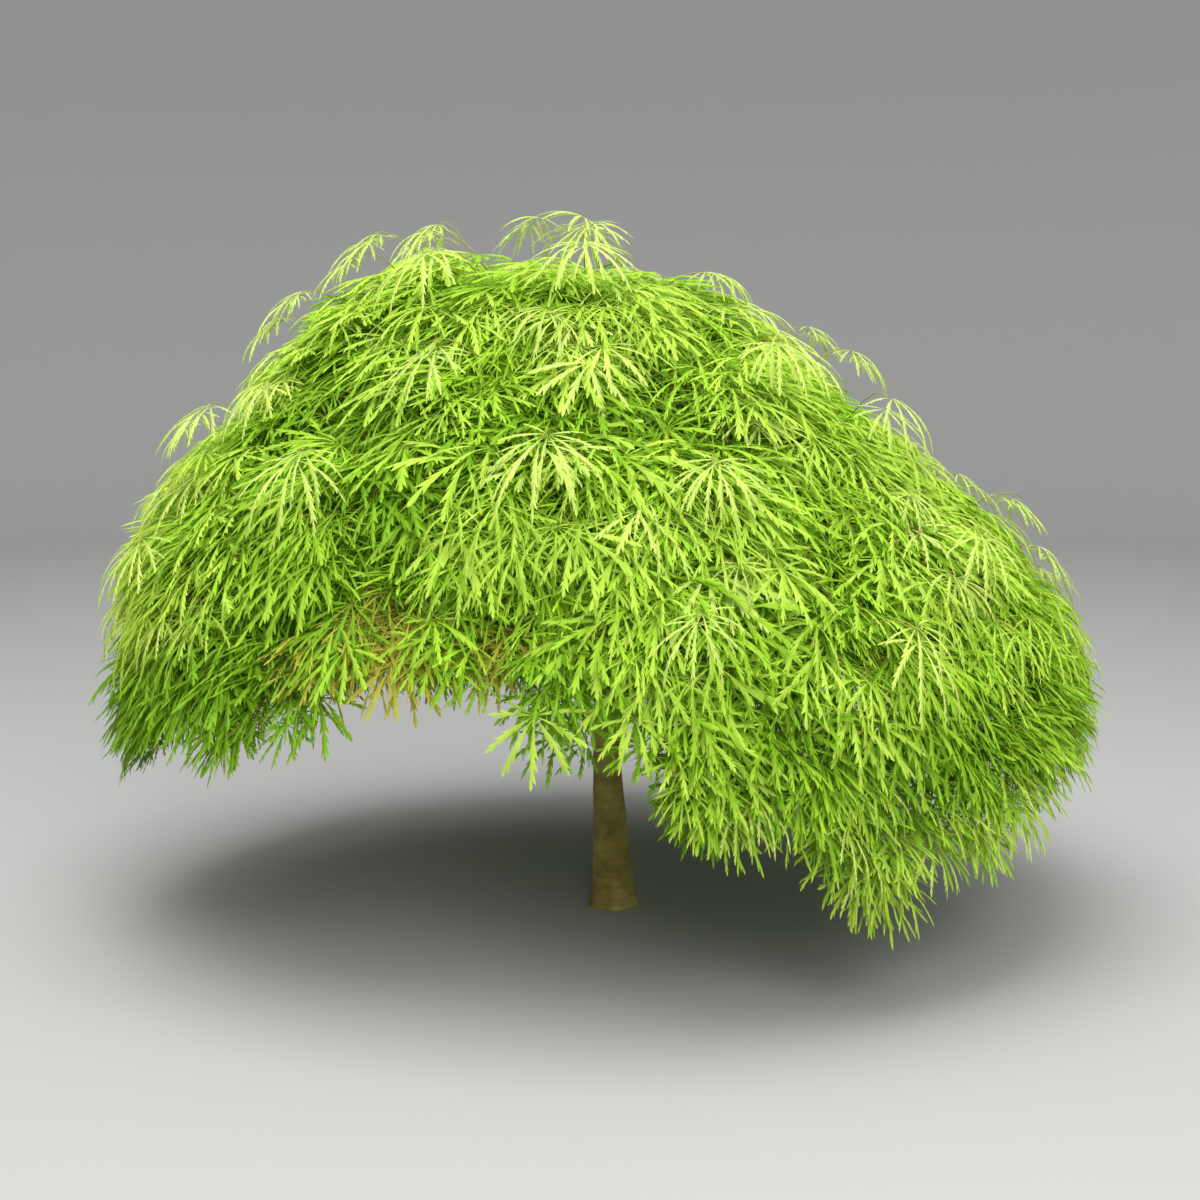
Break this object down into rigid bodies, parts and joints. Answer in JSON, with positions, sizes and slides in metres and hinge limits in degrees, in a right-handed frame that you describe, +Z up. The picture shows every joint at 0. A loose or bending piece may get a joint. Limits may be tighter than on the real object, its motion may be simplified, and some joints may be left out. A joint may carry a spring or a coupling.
{
  "type": "weeping laceleaf maple tree, rooted in the ground",
  "caption": "Small ornamental tree: a smooth flared trunk that forks low into crooked boughs under a wide weeping dome of finely cut, drooping hand-shaped leaves.",
  "frame": {"origin": "Middle of the flat cut under the trunk, at ground level.", "axes": "+Z up the trunk, +X to the tree's right as the picture shows it, -Y towards the viewer."},
  "size_m": [1.9803, 1.7585, 1.384],
  "materials": {
    "bark": "matte",
    "young_bark": "matte",
    "leaf_green": "satin"
  },
  "bodies": {
    "root": {"bough_back": "bark", "bough_left": "bark", "bough_right": "bark", "branch_middle_back": "bark", "branch_middle_front": "bark", "branch_middle_front_right": "bark", "branch_middle_left_back": "bark", "branch_middle_left_front": "bark", "branch_middle_right": "bark", "branch_middle_right_back": "bark", "branch_shoulder_front_left": "young_bark", "branch_shoulder_front_right": "young_bark", "branch_shoulder_left": "young_bark", "branch_shoulder_left_back": "young_bark", "branch_shoulder_right": "young_bark", "branch_shoulder_right_back": "young_bark", "branch_skirt_front": "young_bark", "branch_skirt_left": "young_bark", "branch_skirt_left_back": "young_bark", "branch_skirt_right": "young_bark", "branch_skirt_right_back": "young_bark", "branch_skirt_right_front": "young_bark", "foliage_middle_back": "leaf_green", "foliage_middle_front": "leaf_green", "foliage_middle_front_right": "leaf_green", "foliage_middle_left_back": "leaf_green", "foliage_middle_left_front": "leaf_green", "foliage_middle_right": "leaf_green", "foliage_middle_right_back": "leaf_green", "foliage_shoulder_front_left": "leaf_green", "foliage_shoulder_front_right": "leaf_green", "foliage_shoulder_left": "leaf_green", "foliage_shoulder_left_back": "leaf_green", "foliage_shoulder_right": "leaf_green", "foliage_shoulder_right_back": "leaf_green", "foliage_skirt_front": "leaf_green", "foliage_skirt_left": "leaf_green", "foliage_skirt_left_back": "leaf_green", "foliage_skirt_right": "leaf_green", "foliage_skirt_right_back": "leaf_green", "foliage_skirt_right_front": "leaf_green", "foliage_top_back": "leaf_green", "foliage_top_left": "leaf_green", "foliage_top_right": "leaf_green", "trunk": "bark"}
  },
  "joints": []
}
